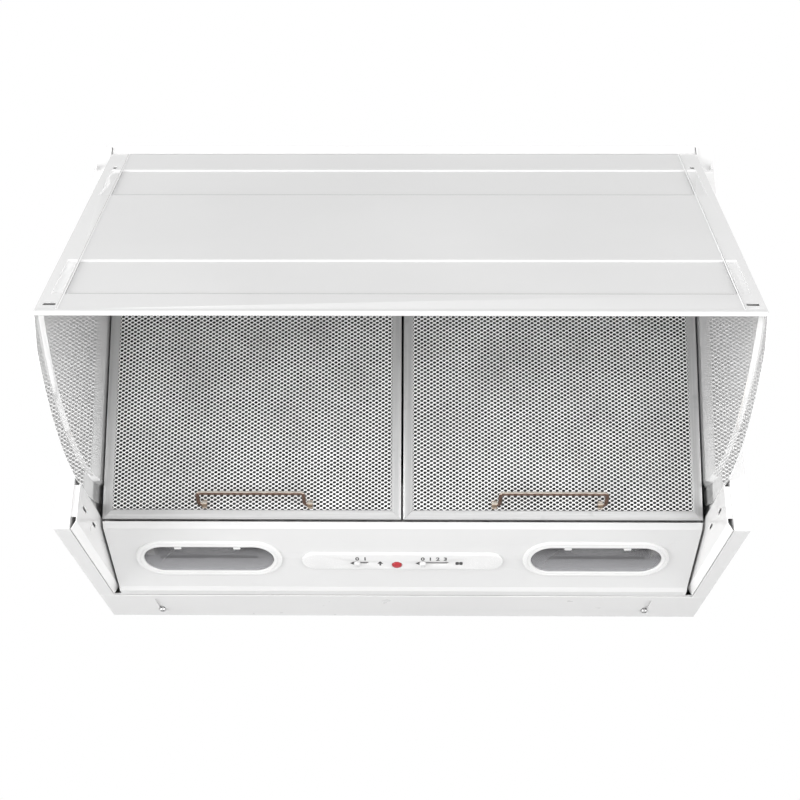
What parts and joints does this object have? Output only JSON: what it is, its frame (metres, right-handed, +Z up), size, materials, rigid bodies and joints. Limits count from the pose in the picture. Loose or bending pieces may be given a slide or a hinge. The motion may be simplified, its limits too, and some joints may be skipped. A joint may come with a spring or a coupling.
{
  "type": "range hood",
  "caption": "Integrated under-cabinet range hood with a tilting visor, wire-handled mesh grease filters, lamp panel, slide switches and a top duct outlet.",
  "frame": {"origin": "centre of the casing's back face", "axes": "+Z up, +Y towards the wall, +X to the right as seen from the front"},
  "size_m": [0.6, 0.4564, 0.4525],
  "materials": {
    "white_paint": "semi-gloss",
    "visor_paint": "satin",
    "galvanised": "satin",
    "steel_zinc": "bright",
    "filter_aluminium": "satin",
    "mesh_aluminium": "satin",
    "nickel_wire": "polished",
    "white_plastic": "gloss",
    "clear_plastic": "clear",
    "red_plastic": "gloss",
    "bulb_glass": "frosted",
    "holder_plastic": "matte",
    "grey_plastic": "matte",
    "black_plastic": "matte",
    "blower_plastic": "matte",
    "motor_steel": "satin",
    "copper_stack": "matte",
    "can_aluminium": "bright",
    "cable_grey": "matte"
  },
  "bodies": {
    "casing": {"casing_back": "white_paint", "casing_top": "white_paint", "casing_side_left": "white_paint", "casing_side_right": "white_paint", "casing_screws": "steel_zinc", "front_baffle": "white_paint", "inner_side_left": "white_paint", "inner_side_right": "white_paint", "floor_carrier": "white_paint", "service_tray": "galvanised", "trim_screws": "steel_zinc", "hinge_bracket_left": "white_paint", "hinge_bracket_right": "white_paint", "hinge_pins": "steel_zinc", "control_panel": "white_paint", "panel_screws": "steel_zinc", "lamp_bezels": "white_plastic", "lamp_boxes": "galvanised", "lamp_holders": "holder_plastic", "lamp_bulbs": "bulb_glass", "control_strip": "white_plastic", "switch_body": "black_plastic", "power_indicator": "red_plastic", "blower_housing_left": "blower_plastic", "blower_housing_right": "blower_plastic", "housing_screws": "steel_zinc", "inlet_rings": "grey_plastic", "motor_can": "motor_steel", "motor_stator": "copper_stack", "motor_bracket": "galvanised", "outlet_collar": "grey_plastic", "collar_screws": "steel_zinc", "damper_pin": "steel_zinc", "terminal_box": "grey_plastic", "terminal_lid": "grey_plastic", "cable_gland": "black_plastic", "capacitor": "can_aluminium", "wiring_loom": "cable_grey"},
    "visor": {"visor_panel": "visor_paint", "visor_liner": "white_paint", "visor_lip": "white_paint", "visor_side_left": "visor_paint", "visor_side_right": "visor_paint"},
    "filter_left": {"filter_frame_left": "filter_aluminium", "filter_mesh_left": "mesh_aluminium", "handle_pads_left": "nickel_wire"},
    "filter_right": {"filter_frame_right": "filter_aluminium", "filter_mesh_right": "mesh_aluminium", "handle_pads_right": "nickel_wire"},
    "handle_left": {"filter_handle_left": "nickel_wire"},
    "handle_right": {"filter_handle_right": "nickel_wire"},
    "lens_left": {"lamp_lens_left": "clear_plastic"},
    "lens_right": {"lamp_lens_right": "clear_plastic"},
    "light_slider": {"light_slider": "white_plastic"},
    "fan_slider": {"fan_slider": "white_plastic"},
    "rear_trim": {"rear_trim": "white_paint"},
    "impeller": {"impeller": "black_plastic", "motor_rotor": "steel_zinc"},
    "damper_front": {"damper_front": "grey_plastic"},
    "damper_back": {"damper_back": "grey_plastic"}
  },
  "joints": [
    {"name": "visor_hinge", "type": "hinge", "parent": "casing", "child": "visor", "pos_m": [0, -0.2665, 0.1818], "axis": [1, 0, 0], "range_deg": [0, 34.2]},
    {"name": "filter_left_tilt", "type": "hinge", "parent": "casing", "child": "filter_left", "pos_m": [-0.13975, -0.24968, 0.14214], "axis": [-1, 0, 0], "range_deg": [0, 9]},
    {"name": "filter_right_tilt", "type": "hinge", "parent": "casing", "child": "filter_right", "pos_m": [0.13975, -0.24968, 0.14214], "axis": [-1, 0, 0], "range_deg": [0, 9]},
    {"name": "handle_left_swing", "type": "hinge", "parent": "filter_left", "child": "handle_left", "pos_m": [-0.13975, -0.19068, -0.14494], "axis": [1, 0, 0], "range_deg": [-52, 40]},
    {"name": "handle_right_swing", "type": "hinge", "parent": "filter_right", "child": "handle_right", "pos_m": [0.13975, -0.19068, -0.14494], "axis": [1, 0, 0], "range_deg": [-52, 40]},
    {"name": "lens_left_drop", "type": "hinge", "parent": "casing", "child": "lens_left", "pos_m": [-0.1845, -0.15137, -0.17439], "axis": [-1, 0, 0], "range_deg": [0, 60]},
    {"name": "lens_right_drop", "type": "hinge", "parent": "casing", "child": "lens_right", "pos_m": [0.1845, -0.15137, -0.17439], "axis": [-1, 0, 0], "range_deg": [0, 60]},
    {"name": "light_slide", "type": "slide", "parent": "casing", "child": "light_slider", "axis": [1, 0, 0], "range_m": [0, 0.0075]},
    {"name": "fan_slide", "type": "slide", "parent": "casing", "child": "fan_slider", "axis": [1, 0, 0], "range_m": [0, 0.0215]},
    {"name": "trim_slide", "type": "slide", "parent": "casing", "child": "rear_trim", "axis": [0, 1, 0], "range_m": [0, 0.03]},
    {"name": "impeller_spin", "type": "hinge", "parent": "casing", "child": "impeller", "pos_m": [0, -0.11, 0.0275], "axis": [1, 0, 0], "continuous": true},
    {"name": "damper_front_lift", "type": "hinge", "parent": "casing", "child": "damper_front", "pos_m": [0, -0.075, 0.2], "axis": [-1, 0, 0], "range_deg": [0, 70]},
    {"name": "damper_back_lift", "type": "hinge", "parent": "casing", "child": "damper_back", "pos_m": [0, -0.075, 0.2], "axis": [1, 0, 0], "range_deg": [0, 70]}
  ]
}
